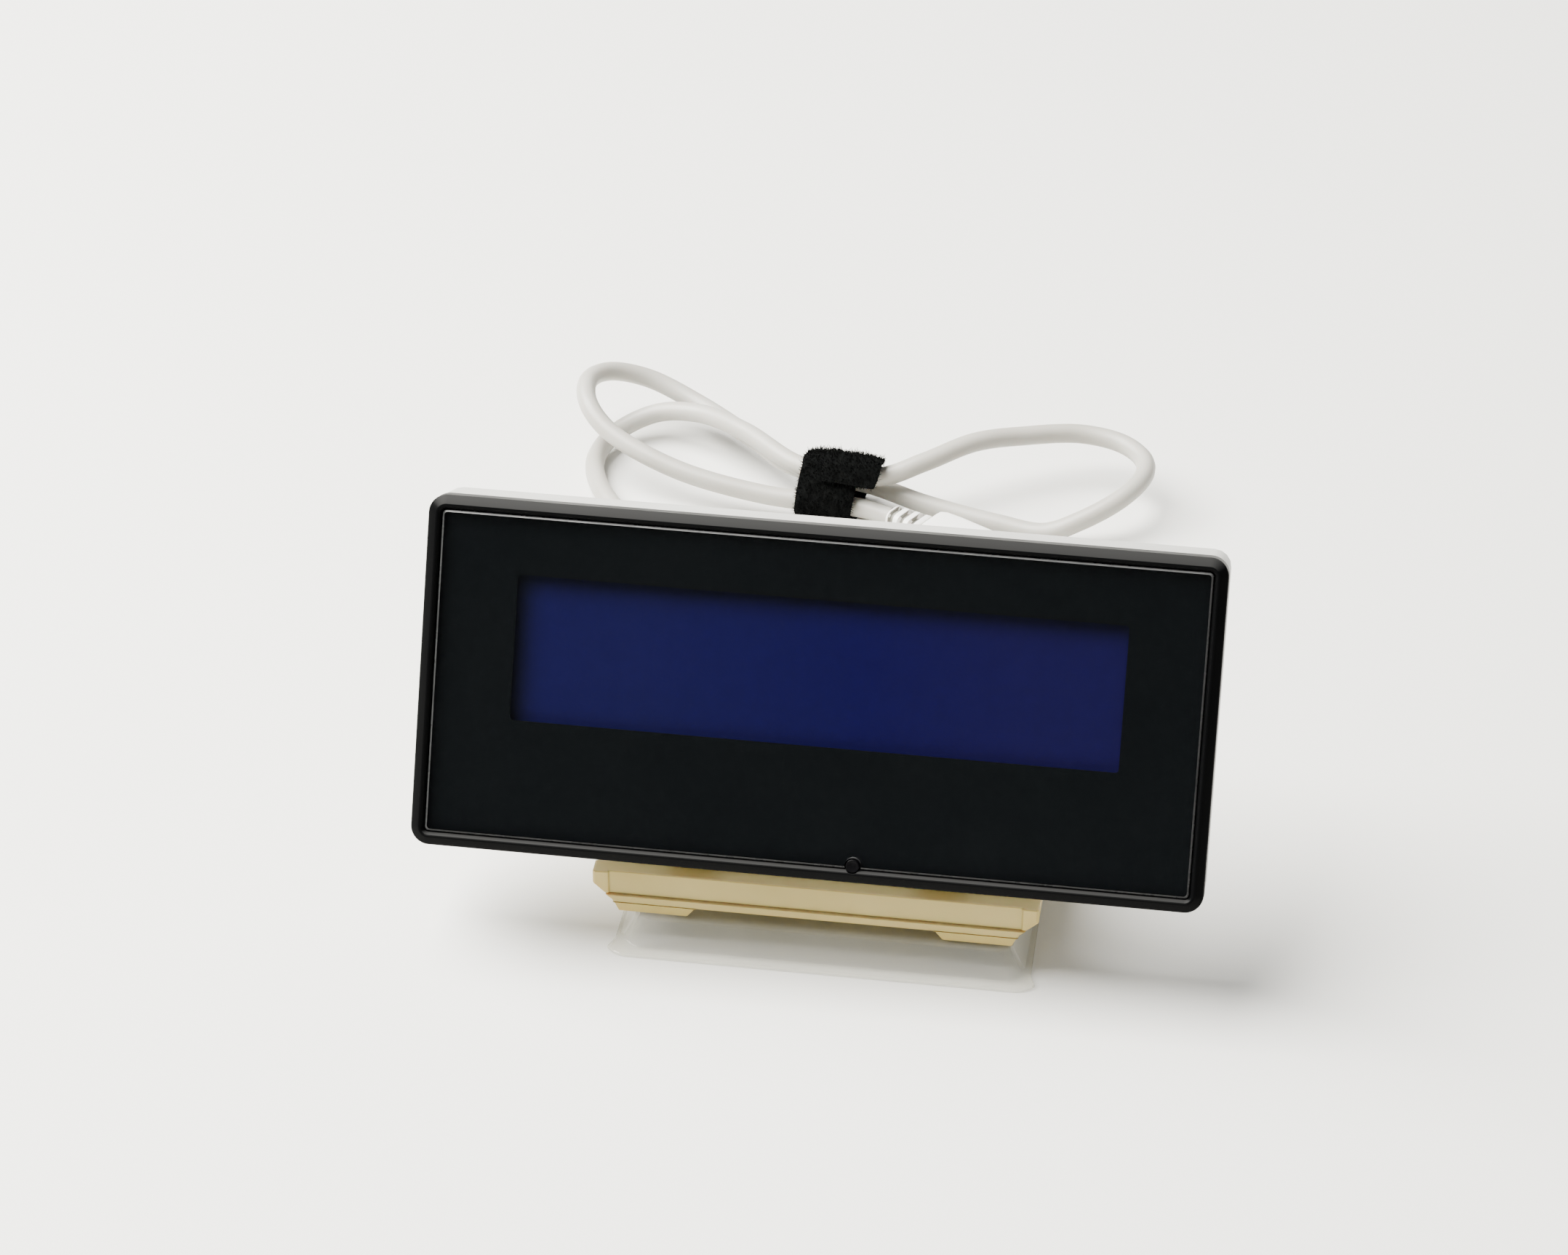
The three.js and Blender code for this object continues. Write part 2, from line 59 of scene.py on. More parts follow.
# head pieces are drawn flat (x across, y depth behind the face, z up the face), then leaned
HEAD = Matrix.Translation((0, FACE_Y, FACE_Z)) @ Matrix.Rotation(-TILT, 4, "X")


# ---------- camera ----------
def aim_camera(target, distance, azimuth, elevation, turn, lift, roll, lens):
    """Stands the camera off the target, then turns it by turn, lift and roll degrees."""
    def back(az, el):
        az, el = math.radians(az), math.radians(el)
        return Vector((math.sin(az) * math.cos(el), -math.cos(az) * math.cos(el), math.sin(el)))

    z = back(azimuth + turn, elevation + lift)
    x = Vector((0, 0, 1)).cross(z).normalized()
    y = z.cross(x)
    r = math.radians(roll)
    x, y = x * math.cos(r) + y * math.sin(r), y * math.cos(r) - x * math.sin(r)
    data = bpy.data.cameras.new("camera")
    data.lens, data.sensor_width, data.clip_start, data.clip_end = lens, 36, 0.05, 20
    camera = bpy.data.objects.new("camera", data)
    camera.matrix_world = Matrix.Translation(Vector(target) + back(azimuth, elevation) * distance) @ \
        Matrix((x, y, z)).transposed().to_4x4()
    bpy.context.scene.collection.objects.link(camera)
    bpy.context.scene.camera = camera


aim_camera(target=(0, -0.0235, 0.067), distance=1.226, azimuth=7.9, elevation=35,
           turn=0.40, lift=-0.84, roll=0.17, lens=119.35)


# ---------- mesh helpers ----------
def mesh_object(name, verts, faces, smooth=30):
    mesh = bpy.data.meshes.new(name)
    mesh.from_pydata([tuple(v) for v in verts], [], faces)
    bm = bmesh.new()
    bm.from_mesh(mesh)
    bmesh.ops.recalc_face_normals(bm, faces=bm.faces)
    finish_mesh(bm, mesh, smooth)
    return place(name, mesh)


def finish_mesh(bm, mesh, smooth):
    """Smooth shading, kept sharp where faces meet at more than smooth degrees and round large flats."""
    for f in bm.faces:
        f.smooth = len(f.verts) <= 4
    for e in bm.edges:
        e.smooth = len(e.link_faces) == 2 and e.calc_face_angle(0) < math.radians(smooth)
    bm.to_mesh(mesh)
    bm.free()


def place(name, mesh):
    obj = bpy.data.objects.new(name, mesh)
    bpy.context.scene.collection.objects.link(obj)
    return obj


def rounded_outline(ha, hb, r, n):
    """Points round a rectangle of half sizes ha and hb, with n steps to each corner of radius r."""
    points = []
    for k, (sa, sb) in enumerate([(1, 1), (-1, 1), (-1, -1), (1, -1)]):
        for i in range(n + 1):
            a = math.pi / 2 * (k + i / n)
            points.append((sa * (ha - r) + r * math.cos(a), sb * (hb - r) + r * math.sin(a)))
    return points


def loft(name, sections, ring=False, up="y", n=8, smooth=30, matrix=None):
    """Closed body through rounded rectangles (half_a, half_b, radius, height, centre_a, centre_b)."""
    verts, faces, per = [], [], 4 * (n + 1)
    for ha, hb, r, h, ca, cb in sections:
        for a, b in rounded_outline(ha, hb, r, n):
            verts.append((a + ca, h, b + cb) if up == "y" else (a + ca, b + cb, h))
    rows = len(sections)
    for s in range(rows if ring else rows - 1):
        p, q = s * per, (s + 1) % rows * per
        faces += [(p + i, p + (i + 1) % per, q + (i + 1) % per, q + i) for i in range(per)]
    if not ring:
        faces += [tuple(range(per)), tuple(range((rows - 1) * per, rows * per))]
    if matrix:
        verts = [matrix @ Vector(v) for v in verts]
    return mesh_object(name, verts, faces, smooth)


def lathe(name, profile, matrix, n=48, smooth=35):
    """Closed body of revolution about local X from (distance along, radius) points."""
    verts = [(profile[0][0], 0, 0)]
    for x, r in profile[1:-1]:
        turns = [2 * math.pi * i / n for i in range(n)]
        verts += [(x, r * math.cos(a), r * math.sin(a)) for a in turns]
    verts.append((profile[-1][0], 0, 0))
    rows, last = len(profile) - 2, len(verts) - 1
    faces = [(0, 1 + (i + 1) % n, 1 + i) for i in range(n)]
    for s in range(rows - 1):
        p, q = 1 + s * n, 1 + (s + 1) * n
        faces += [(p + i, p + (i + 1) % n, q + (i + 1) % n, q + i) for i in range(n)]
    p = 1 + (rows - 1) * n
    faces += [(p + i, p + (i + 1) % n, last) for i in range(n)]
    return mesh_object(name, [matrix @ Vector(v) for v in verts], faces, smooth)


def refined(node, width, segments=2, corner=28, seam=None):
    """A copy of a CAD node with its flats merged and its hard edges rounded, standing for it.

    seam is a height at which it meets its neighbour closely, so the edges there stay sharp."""
    bm = bmesh.new()
    bm.from_mesh(nodes[node].data)
    bmesh.ops.remove_doubles(bm, verts=bm.verts, dist=1e-6)
    bmesh.ops.dissolve_limit(bm, angle_limit=SAME_FLAT, verts=bm.verts, edges=bm.edges)
    hard = [e for e in bm.edges if len(e.link_faces) == 2 and e.calc_face_angle(0) > math.radians(corner)]
    if seam:
        hard = [e for e in hard if any(abs(v.co.z - seam) > 0.3 * MM for v in e.verts)]
    bmesh.ops.bevel(bm, geom=hard, offset=width, segments=segments, profile=0.5, affect="EDGES",
                    clamp_overlap=False)
    mesh = bpy.data.meshes.new(node + "_rounded")
    finish_mesh(bm, mesh, 32)
    obj = place(node + "_rounded", mesh)
    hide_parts(node)
    return obj


def inset(s, depth, least=0.8):
    """Section of the head's outline, s millimetres inside its edge, depth behind the face."""
    return (FACE_W / 2 - s * MM, FACE_H / 2 - s * MM, max(CORNER_R - s * MM, least * MM), depth * MM,
            0, FACE_H / 2)


# ---------- materials ----------
PAINTED_LIGHT_FROM = (0, -0.15, 0.989)  # where the painted top light comes from: up, leaning a little to the front


def cloud(tree, where, size, detail):
    """Soft noise of a given size in metres."""
    n = tree.nodes.new("ShaderNodeTexNoise")
    n.inputs["Scale"].default_value = 1 / size
    n.inputs["Detail"].default_value = detail
    tree.links.new(where, n.inputs["Vector"])
    return n.outputs["Fac"]


def rescale(tree, value, start=(0, 1), end=(0, 1)):
    """Maps the range start of a value to the range end."""
    n = tree.nodes.new("ShaderNodeMapRange")
    n.inputs["From Min"].default_value, n.inputs["From Max"].default_value = start
    n.inputs["To Min"].default_value, n.inputs["To Max"].default_value = end
    tree.links.new(value, n.inputs["Value"])
    return n.outputs["Result"]


def paint_top_light(tree, normal, colours, painted_top_light):
    """Painted light: blends to a paler colour where a face looks up, as if lit from above."""
    facing = tree.nodes.new("ShaderNodeVectorMath")
    facing.operation = "DOT_PRODUCT"
    facing.inputs[1].default_value = PAINTED_LIGHT_FROM
    tree.links.new(normal, facing.inputs[0])
    blend = tree.nodes.new("ShaderNodeMix")
    blend.data_type = "RGBA"
    tree.links.new(rescale(tree, facing.outputs["Value"], start=(0.72, 0.93)), blend.inputs["Factor"])
    tree.links.new(colours, blend.inputs["A"])
    blend.inputs["B"].default_value = (*painted_top_light, 1)
    return blend.outputs["Result"]


def surface(name, colour, second=None, patch=0.02, rough=(0.45, 0.55), grain=0.0006, depth=0.00002,
            contrast=(0.35, 0.7), painted_top_light=None, **settings):
    """Principled surface: two colours in soft patches, uneven roughness and a fine moulded grain.

    The paler colour given for the top is painted on faces that look up: painted light from above."""
    material = bpy.data.materials.new(name)
    material.use_nodes = True
    tree = material.node_tree
    shader = tree.nodes["Principled BSDF"]
    for socket, value in settings.items():
        shader.inputs[socket.replace("_", " ")].default_value = value
    coords = tree.nodes.new("ShaderNodeTexCoord")
    where = coords.outputs["Object"]

    ramp = tree.nodes.new("ShaderNodeValToRGB")
    first, last = ramp.color_ramp.elements
    first.position, last.position = contrast
    first.color = (*colour, 1)
    last.color = (*(second or [min(1, c * 1.12) for c in colour]), 1)
    tree.links.new(cloud(tree, where, patch, detail=4), ramp.inputs["Fac"])
    colours = ramp.outputs["Color"]
    if painted_top_light:
        colours = paint_top_light(tree, coords.outputs["Normal"], colours, painted_top_light)
    tree.links.new(colours, shader.inputs["Base Color"])

    uneven = cloud(tree, where, patch * 0.4, detail=3)
    tree.links.new(rescale(tree, uneven, start=(0.3, 0.7), end=rough), shader.inputs["Roughness"])

    bump = tree.nodes.new("ShaderNodeBump")
    bump.inputs["Strength"].default_value = 1
    bump.inputs["Distance"].default_value = depth
    tree.links.new(cloud(tree, where, grain, detail=2), bump.inputs["Height"])
    tree.links.new(bump.outputs["Normal"], shader.inputs["Normal"])
    return material


def clear(material, face_on, edge_on):
    """Makes a surface see-through, more so where it is looked at squarely than along its edges."""
    tree = material.node_tree
    facing = tree.nodes.new("ShaderNodeLayerWeight")
    facing.inputs["Blend"].default_value = 0.4
    opacity = rescale(tree, facing.outputs["Facing"], end=(face_on, edge_on))
    tree.links.new(opacity, tree.nodes["Principled BSDF"].inputs["Alpha"])
    return material


# the frame's upward faces get a paler grey: painted light on its top bevel
FRAME_BLACK = surface("frame_black", (0.0017, 0.0018, 0.0020), (0.0023, 0.0024, 0.0026), 0.03, (0.34, 0.42),
                      0.0005, 0.000006, painted_top_light=(0.0225, 0.0225, 0.0225), Specular_IOR_Level=0.025)
WINDOW_CLEAR = surface("window_clear", (0.0012, 0.0015, 0.0018), (0.0016, 0.0019, 0.0022), 0.05,
                       (0.04, 0.05), 0.02, 0.000001, Alpha=0.3)
# pale, patchy grey of the polished edge: painted highlight along the edge, paler still on its top faces
WINDOW_EDGE = surface("window_edge", (0.030, 0.031, 0.032), (0.056, 0.057, 0.058), 0.010, (0.2, 0.4),
                      0.0012, 0.00002, contrast=(0.30, 0.46), painted_top_light=(0.130, 0.132, 0.134),
                      Specular_IOR_Level=0.3)
MASK_PRINT = surface("mask_print", (0.0042, 0.0060, 0.0076), (0.0053, 0.0074, 0.0092), 0.06, (0.40, 0.45),
                     Specular_IOR_Level=0.1)
LENS_DARK = surface("lens_dark", (0.0022, 0.0022, 0.0026), (0.0036, 0.0034, 0.004), 0.002, (0.30, 0.38),
                    Specular_IOR_Level=0.05)
BEZEL_METAL = surface("bezel_metal", (0.02, 0.02, 0.022), None, 0.02, (0.4, 0.5), Metallic=0.5)
BACKLIGHT = surface("backlight_white", (0.78, 0.79, 0.80), None, 0.02, (0.4, 0.5))
CHASSIS_BLACK = surface("chassis_black", (0.02, 0.02, 0.022), None, 0.02, (0.5, 0.6))
BOARD_GREEN = surface("board_green", (0.012, 0.07, 0.03), (0.02, 0.11, 0.045), 0.004, (0.25, 0.4))
CHIP_BLACK = surface("chip_black", (0.012, 0.012, 0.013), None, 0.003, (0.45, 0.6))
SOCKET_WHITE = surface("socket_white", (0.72, 0.70, 0.64), None, 0.01, (0.4, 0.5))
STEEL = surface("steel", (0.48, 0.48, 0.49), (0.60, 0.60, 0.61), 0.004, (0.22, 0.36), 0.0003,
                0.000008, Metallic=1.0)
COVER_WHITE = surface("cover_white", (0.44, 0.437, 0.415), (0.49, 0.487, 0.465), 0.05, (0.42, 0.52),
                      0.0007, 0.000025)
# faces of the stand that look up get a paler cream: painted light lifting the shade under the head
STAND_CREAM = surface("stand_cream", (0.41, 0.315, 0.088), (0.47, 0.365, 0.114), 0.035, (0.36, 0.50),
                      0.0008, 0.00002, painted_top_light=(0.62, 0.53, 0.26), Subsurface_Weight=0.15,
                      Subsurface_Scale=0.004)
PAD_RUBBER = surface("pad_rubber", (0.03, 0.027, 0.022), None, 0.006, (0.8, 0.95))
# pale yellow colour, strongest along the edges where it is least see-through: partly the plastic's own
# milky tint, partly painted light, warm bounce from the cream stand and pale edge highlights
CLEAR_PLASTIC = clear(surface("clear_plastic", (0.66, 0.65, 0.55), (0.76, 0.75, 0.66), 0.03, (0.06, 0.14),
                              0.012, 0.00006, Specular_IOR_Level=0.9), 0.10, 0.75)
LEAD_WHITE = surface("lead_white", (0.38, 0.365, 0.325), (0.44, 0.43, 0.395), 0.03, (0.34, 0.46),
                     0.0012, 0.000012, Subsurface_Weight=0.1, Subsurface_Scale=0.003)
TIE_BLACK = surface("tie_black", (0.0014, 0.0016, 0.0016), (0.0034, 0.0037, 0.0036), 0.002, (0.9, 1.0),
                    0.0004, 0.0001, Specular_IOR_Level=0.04)
PLUG_WHITE = surface("plug_white", (0.84, 0.835, 0.80), (0.88, 0.875, 0.85), 0.01, (0.3, 0.4), 0.0006,
                     0.00001, Subsurface_Weight=0.08, Subsurface_Scale=0.003)
# darker colour for the slot cores of the relief: painted shade in the deep slots
PLUG_SLOT_SHADE = surface("plug_slot_painted_shade", (0.24, 0.235, 0.205), (0.32, 0.31, 0.28), 0.004, (0.6, 0.7))
PLUG_METAL = surface("plug_metal", (0.62, 0.63, 0.64), (0.70, 0.71, 0.72), 0.004, (0.15, 0.25), 0.0004,
                     0.000006, Metallic=1.0)
FLOOR_PALE = surface("floor_pale", (0.80, 0.795, 0.765), (0.82, 0.815, 0.79), 0.5, (0.6, 0.7), 0.003,
                     0.00001)


def display_blue():
    """Unlit display: slow blue gradient, faint cells, and a painted shadow of the mask along its top and
    left edges.
    """
    material = surface("display_blue", (0.0150, 0.0130, 0.1160), (0.0115, 0.0070, 0.1180), 0.08,
                       (0.25, 0.27), 0.004, 0.000002, Specular_IOR_Level=0.2)
    tree = material.node_tree

    def node(kind, **inputs):
        n = tree.nodes.new(kind)
        for socket, value in inputs.items():
            socket = int(socket[1:]) if socket[1:].isdigit() else socket.replace("_", " ")
            if hasattr(value, "is_output"):
                tree.links.new(value, n.inputs[socket])
            else:
                n.inputs[socket].default_value = value
        return n

    def maths(operation, a, b):
        n = node("ShaderNodeMath", i0=a, i1=b)
        n.operation = operation
        return n.outputs[0]

    def ramp(value, start, end, low, high):
        n = node("ShaderNodeMapRange", Value=value, From_Min=start, From_Max=end, To_Min=low, To_Max=high)
        n.interpolation_type = "SMOOTHSTEP"
        return n.outputs["Result"]

    flat = node("ShaderNodeMapping", Vector=tree.nodes.new("ShaderNodeTexCoord").outputs["Object"],
                Location=(0, FACE_Y, FACE_Z), Rotation=(-TILT, 0, 0))
    flat.vector_type = "TEXTURE"
    spot = node("ShaderNodeSeparateXYZ", Vector=flat.outputs["Vector"])
    across, up = spot.outputs["X"], spot.outputs["Z"]
    left, top = -VIEW_W / 2, VIEW_V + VIEW_H / 2

    colours = next(n for n in tree.nodes if n.type == "VALTORGB")
    patches = colours.inputs["Fac"].links[0].from_socket
    place_in_ramp = maths("ADD", ramp(across, left, -left, 0, 1), ramp(patches, 0.3, 0.7, -0.06, 0.06))
    tree.links.new(place_in_ramp, colours.inputs["Fac"])
    stops = colours.color_ramp.elements
    stops[0].position, stops[1].position = 0.1, 0.6
    stops.new(0.95).color = (0.0165, 0.0112, 0.1160, 1)

    # painted shadow of the mask on the recessed display along its left and top edges, times faint dark
    # lines between the cells
    painted_shadow_and_cells = maths("MULTIPLY", ramp(across, left - 3 * MM, left + 8 * MM, 0.0, 1.0),
                  ramp(up, top - 7.5 * MM, top + 3.5 * MM, 1.0, 0.0))
    for coordinate, count, span, middle in ((across, 20, CELLS_W, 0), (up, 2, CELLS_H, VIEW_V)):
        cell = maths("MULTIPLY", maths("SUBTRACT", coordinate, middle - span / 2), count / span)
        inside = ramp(maths("PINGPONG", cell, 0.5), 0.05, 0.10, 0.985, 1.0)
        painted_shadow_and_cells = maths("MULTIPLY", painted_shadow_and_cells, inside)
    # mixes towards the dark colour of the painted shadow
    painted_mask_shadow = node("ShaderNodeMix")
    painted_mask_shadow.data_type = "RGBA"
    tree.links.new(painted_shadow_and_cells, painted_mask_shadow.inputs["Factor"])
    painted_mask_shadow.inputs["A"].default_value = (0.0066, 0.0090, 0.0134, 1)
    tree.links.new(colours.outputs["Color"], painted_mask_shadow.inputs["B"])
    tree.links.new(painted_mask_shadow.outputs["Result"], tree.nodes["Principled BSDF"].inputs["Base Color"])
    return material


DISPLAY_BLUE = display_blue()


def paint(obj, material):
    obj.data.materials.clear()
    obj.data.materials.append(material)
    return obj


def mark(obj, material, wanted):
    """Gives the faces that are wanted a second material."""
    obj.data.materials.append(material)
    for polygon in obj.data.polygons:
        if wanted(polygon):
            polygon.material_index = 1


def dress(obj, material, slot, body, *replaced):
    """Material, slot (not used), body and the CAD nodes that a new piece stands for."""
    paint(obj, material)
    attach(obj, body)
    if replaced:
        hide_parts(*replaced)
    return obj


def bezier_route(points):
    """Bezier handles that follow the centripetal curve through the points, as the CAD tube does."""
    pts = [Vector(p) * MM for p in points]
    pts = [2 * pts[0] - pts[1], *pts, 2 * pts[-1] - pts[-2]]
    gap = [math.sqrt((b - a).length) for a, b in zip(pts, pts[1:])]
    out = []
    for i in range(1, len(pts) - 1):
        d1, d2 = gap[i - 1], gap[i]
        a, p, b = pts[i - 1], pts[i], pts[i + 1]
        s1, s2, both = d1 * d1, d2 * d2, 3 * d1 * d2
        right = (s1 * b - s2 * a + (2 * s1 + both + s2) * p) / (3 * d1 * (d1 + d2))
        left = (s2 * a - s1 * b + (2 * s2 + both + s1) * p) / (3 * d2 * (d1 + d2))
        out.append((left, p, right))
    return out


# ---------- lead ----------
ROUTE = [
    # out of the stand, then hidden behind the head
    (2, 48.8, 17.6), (1.9, 57, 17.2), (-4, 72, 10.5), (-19, 91, 4), (-68.5, 138, 3.1),
    # lower left loop, up to the tie
    (-84.5, 160, 2.9), (-88.6, 175.5, 3), (-84.6, 187.4, 4.6), (-74.6, 193.6, 7.6), (-62, 190.4, 10.6),
    (-48, 180, 12.6), (-29, 164.2, 12.6),
    # right loop, down to the floor and back to the tie
    (-8, 162.6, 12.5), (3.5, 167.9, 15), (15.9, 177.1, 16.7), (28.2, 184.7, 15.2), (43.9, 190.1, 14),
    (55.4, 187.8, 13.4), (62, 180.5, 13.2), (62.7, 172.7, 13), (57.3, 163.3, 11.1), (47.1, 157.3, 6.9),
    (37.7, 155.8, 3.3), (24.8, 158.4, 3.2), (4.8, 162.8, 4.6), (-11.7, 167, 7),
    # upper left loop and back through the tie
    (-28.4, 169.9, 7.6), (-36, 174, 7.6), (-44.5, 183, 7.3), (-64, 199, 8.5), (-78.4, 202.8, 13),
    (-88.4, 198.8, 16.8), (-93, 190, 18.8), (-91.5, 180.4, 17.5), (-84, 172, 13.9), (-64.4, 163.4, 9.1),
    (-40.5, 158.9, 6.3), (-23.5, 157.1, 6.1), (-11, 156, 6), (-4.2, 154.1, 5.3),
]


def make_lead():
    """One smooth round curve along the route."""
    data = bpy.data.curves.new("lead_jacket", "CURVE")
    data.dimensions = "3D"
    data.resolution_u = 12
    data.bevel_depth, data.bevel_resolution = CORD_D / 2, 6
    data.use_fill_caps = True
    spline = data.splines.new("BEZIER")
    route = bezier_route(ROUTE)
    spline.bezier_points.add(len(route) - 1)
    for point, (left, co, right) in zip(spline.bezier_points, route):
        point.handle_left_type = point.handle_right_type = "FREE"
        point.co, point.handle_left, point.handle_right = co, left, right
    return place("lead_jacket", data)


PLUG = Matrix.Translation(Vector((-3.6, 153.8, 5.3)) * MM) @ Matrix.Rotation(math.radians(-30), 4, "Z")
ALONG_X = Matrix(((0, 0, 1, 0), (1, 0, 0, 0), (0, 1, 0, 0), (0, 0, 0, 1)))
RELIEF_LENGTH, SLOTS, SLOT_CORE, SLOT_TRIM = 11, (1.8, 5.2, 8.6), (2.3, 2.3, 1.6), 0.14 * MM
SLOT_FROM, SLOT_TO, SLOT_RADIUS = 0.9 * MM, 9.7 * MM, 3.05 * MM  # where the relief shows its slots


def make_plug():
    """Slotted strain relief and moulded body; the metal shell and its tongue stay the CAD's."""
    def section(a, b, r, x):
        return (a * MM, b * MM, r * MM, x * MM, 0, 0)

    def outside(x):
        return section(3.2 + 0.95 * x / RELIEF_LENGTH, 3.15 + 0.45 * x / RELIEF_LENGTH, 1.9, x)
    relief = [section(2.8, 2.8, 2.2, 0), section(3.05, 3.0, 2.0, 0.25), outside(0.7)]
    for middle in SLOTS:
        for x in (-0.97, -0.85, -0.83, 0.83, 0.85, 0.97):
            if abs(x) < 0.84:
                relief.append(section(*SLOT_CORE, middle + x))
            else:
                a, b, r, h, _, _ = outside(middle + x)
                trim = SLOT_TRIM if abs(x) < 0.9 else 0
                relief.append((a - trim, b - trim, r, h, 0, 0))
    relief += [outside(10.7), section(3.95, 3.4, 1.8, RELIEF_LENGTH)]
    steps = [(5.2, 2.6, 1.2, 11.2), (6.3, 3.3, 1.5, 11.35), (7.2, 3.8, 1.8, 12.0), (7.75, 4.1, 2.0, 13.6),
             (8.0, 4.2, 2.0, 18), (8.0, 4.2, 2.0, 27), (7.8, 4.1, 1.9, 33), (7.55, 3.9, 1.8, 33.7),
             (7.1, 3.6, 1.5, 34)]
    lie = PLUG @ ALONG_X
    return (loft("plug_relief_slotted", relief, up="z", matrix=lie, n=6, smooth=40),
            loft("plug_overmould", [section(*row) for row in steps], up="z", matrix=lie, n=8, smooth=40))


def in_slot(polygon):
    spot = PLUG.inverted() @ polygon.center
    return SLOT_FROM < spot.x < SLOT_TO and math.hypot(spot.y, spot.z) < SLOT_RADIUS


RUNS = [(-5.8, 6.1), (5.9, 7.4), (0.4, 12.5)]  # the three runs inside the strap: y and z
TIE = Matrix.Translation(Vector((-21, 162.6, 0)) * MM) @ Matrix.Rotation(math.radians(-8), 4, "Z")
# the strap's sizes in millimetres: width, thickness, inner radius round a run, and play
TIE_W, TIE_THICK, TIE_INNER, TIE_PLAY = 16, 1.15, 3.6, 0.02
LAP_SLIDE, LAP_GAP, CRUMPLE = 6, 0.12, 0.3
# its rows: the first one on the belt path, how many are lapped, steps across, and where the lap turns
TIE_START, TIE_LAP, TIE_ACROSS, LAP_RAMP, LAP_STRAIGHT = 25, 25, 16, 6, 7


def belt_path(steps=9):
    """Middle of the arc (y, z) and outward angle at points all round the three runs."""
    path = []
    for i, (a, b) in enumerate(RUNS):
        pa, pb = RUNS[i - 1]
        na, nb = RUNS[(i + 1) % 3]
        start = math.atan2(b - pb, a - pa) - math.pi / 2
        end = math.atan2(nb - b, na - a) - math.pi / 2
        turn = (end - start) % (2 * math.pi)
        path += [(a, b, start + turn * k / steps) for k in range(steps + 1)]
        path += [(a + (na - a) * k / steps, b + (nb - b) * k / steps, end) for k in range(1, steps)]
    return path


def lap_shape(row, whole, rows):
    """How far the strap rises and slides aside at a row, and how wide it is, as a share."""
    rise = min(1.0, max(0.0, (row - whole + LAP_RAMP) / LAP_RAMP)) * (TIE_THICK + LAP_GAP)
    along = min(1.0, max(0.0, (row - whole - LAP_STRAIGHT) / LAP_RAMP))
    slide = LAP_SLIDE * along * along * (3 - 2 * along)
    width = 1 - 0.10 * max(0.0, (row - rows + 5) / 4) ** 2
    return rise, slide, width


def crumpled(p, out):
    """A point of the strap moved a little in and out and sideways, and kept off the floor."""
    p += out * noise.noise(p * CRUMPLE) * 0.22 + Vector((noise.noise(p * CRUMPLE + out), 0, 0)) * 0.3
    p.z = max(p.z, 0.4)
    return TIE @ (p * MM)


def make_tie():
    """Hook-and-loop strap: once round the three runs, then lapped over the top and down the front."""
    path = belt_path()
    whole, rows = len(path), len(path) + TIE_LAP
    verts, faces = [], []
    for row in range(rows):
        a, b, angle = path[(TIE_START + row) % whole]
        rise, slide, width = lap_shape(row, whole, rows)
        out = Vector((0, math.cos(angle), math.sin(angle)))
        for side in (-1, 1):
            for j in range(TIE_ACROSS + 1):
                u = (0.5 - j / TIE_ACROSS) * side
                rounding = 1 - 0.8 * (2 * abs(u)) ** 8
                reach = TIE_INNER + TIE_PLAY + TIE_THICK / 2 + rise + side * TIE_THICK / 2 * rounding
                verts.append(crumpled(Vector((u * TIE_W * width + slide, a, b)) + out * reach, out))
    per = 2 * (TIE_ACROSS + 1)
    last = (rows - 1) * per
    for p in range(0, last, per):
        faces += [(p + j, p + (j + 1) % per, p + per + (j + 1) % per, p + per + j) for j in range(per)]
    faces += [tuple(range(per)), tuple(range(last, last + per))]
    return mesh_object("tie_strap", verts, faces, 60)


def fibre(rng, face):
    """Root, knee and tip of one bent fibre on a face: its root just under it, some fibres longer."""
    low, high = sorted((rng.random(), rng.random()))
    v = [x.co for x in face.verts]
    root = v[0] * low + v[1] * (high - low) + v[2] * (1 - high) - face.normal * 0.15 * MM
    lean = Vector((rng.uniform(-1, 1), rng.uniform(-1, 1), rng.uniform(-1, 1)))
    length = rng.uniform(0.4, 0.85) * MM * (1.7 if rng.random() < 0.12 else 1)
    knee = root + (face.normal + lean * 0.5).normalized() * length
    tip = knee + (face.normal * 0.5 + lean).normalized() * length * 0.8
    return root, knee, tip


def spike(normal, root, knee, tip, k):
    """Points and faces of a closed three-sided spike, its first point being number k."""
    side = normal.orthogonal().normalized()
    other = normal.cross(side)
    verts = []
    for centre, radius in ((root, 0.09 * MM), (knee, 0.06 * MM)):
        for step in range(3):
            angle = 2 * math.pi * step / 3
            verts.append(centre + (side * math.cos(angle) + other * math.sin(angle)) * radius)
    faces = [(k, k + 2, k + 1)]
    for step in range(3):
        after = (step + 1) % 3
        faces += [(k + step, k + after, k + 3 + after, k + 3 + step), (k + 3 + step, k + 3 + after, k + 6)]
    return [*verts, tip], faces


def make_pile(strap, count=13000, floor_gap=0.2 * MM):
    """Short bent fibres standing off the strap."""
    rng = random.Random(7)
    bm = bmesh.new()
    bm.from_mesh(strap.data)
    bmesh.ops.triangulate(bm, faces=bm.faces)
    tris = list(bm.faces)
    verts, faces = [], []
    for face in rng.choices(tris, weights=[t.calc_area() for t in tris], k=count):
        root, knee, tip = fibre(rng, face)
        if min(tip.z, knee.z) >= floor_gap:
            more_verts, more_faces = spike(face.normal, root, knee, tip, len(verts))
            verts += more_verts
            faces += more_faces
    bm.free()
    return mesh_object("tie_pile", verts, faces, 180)


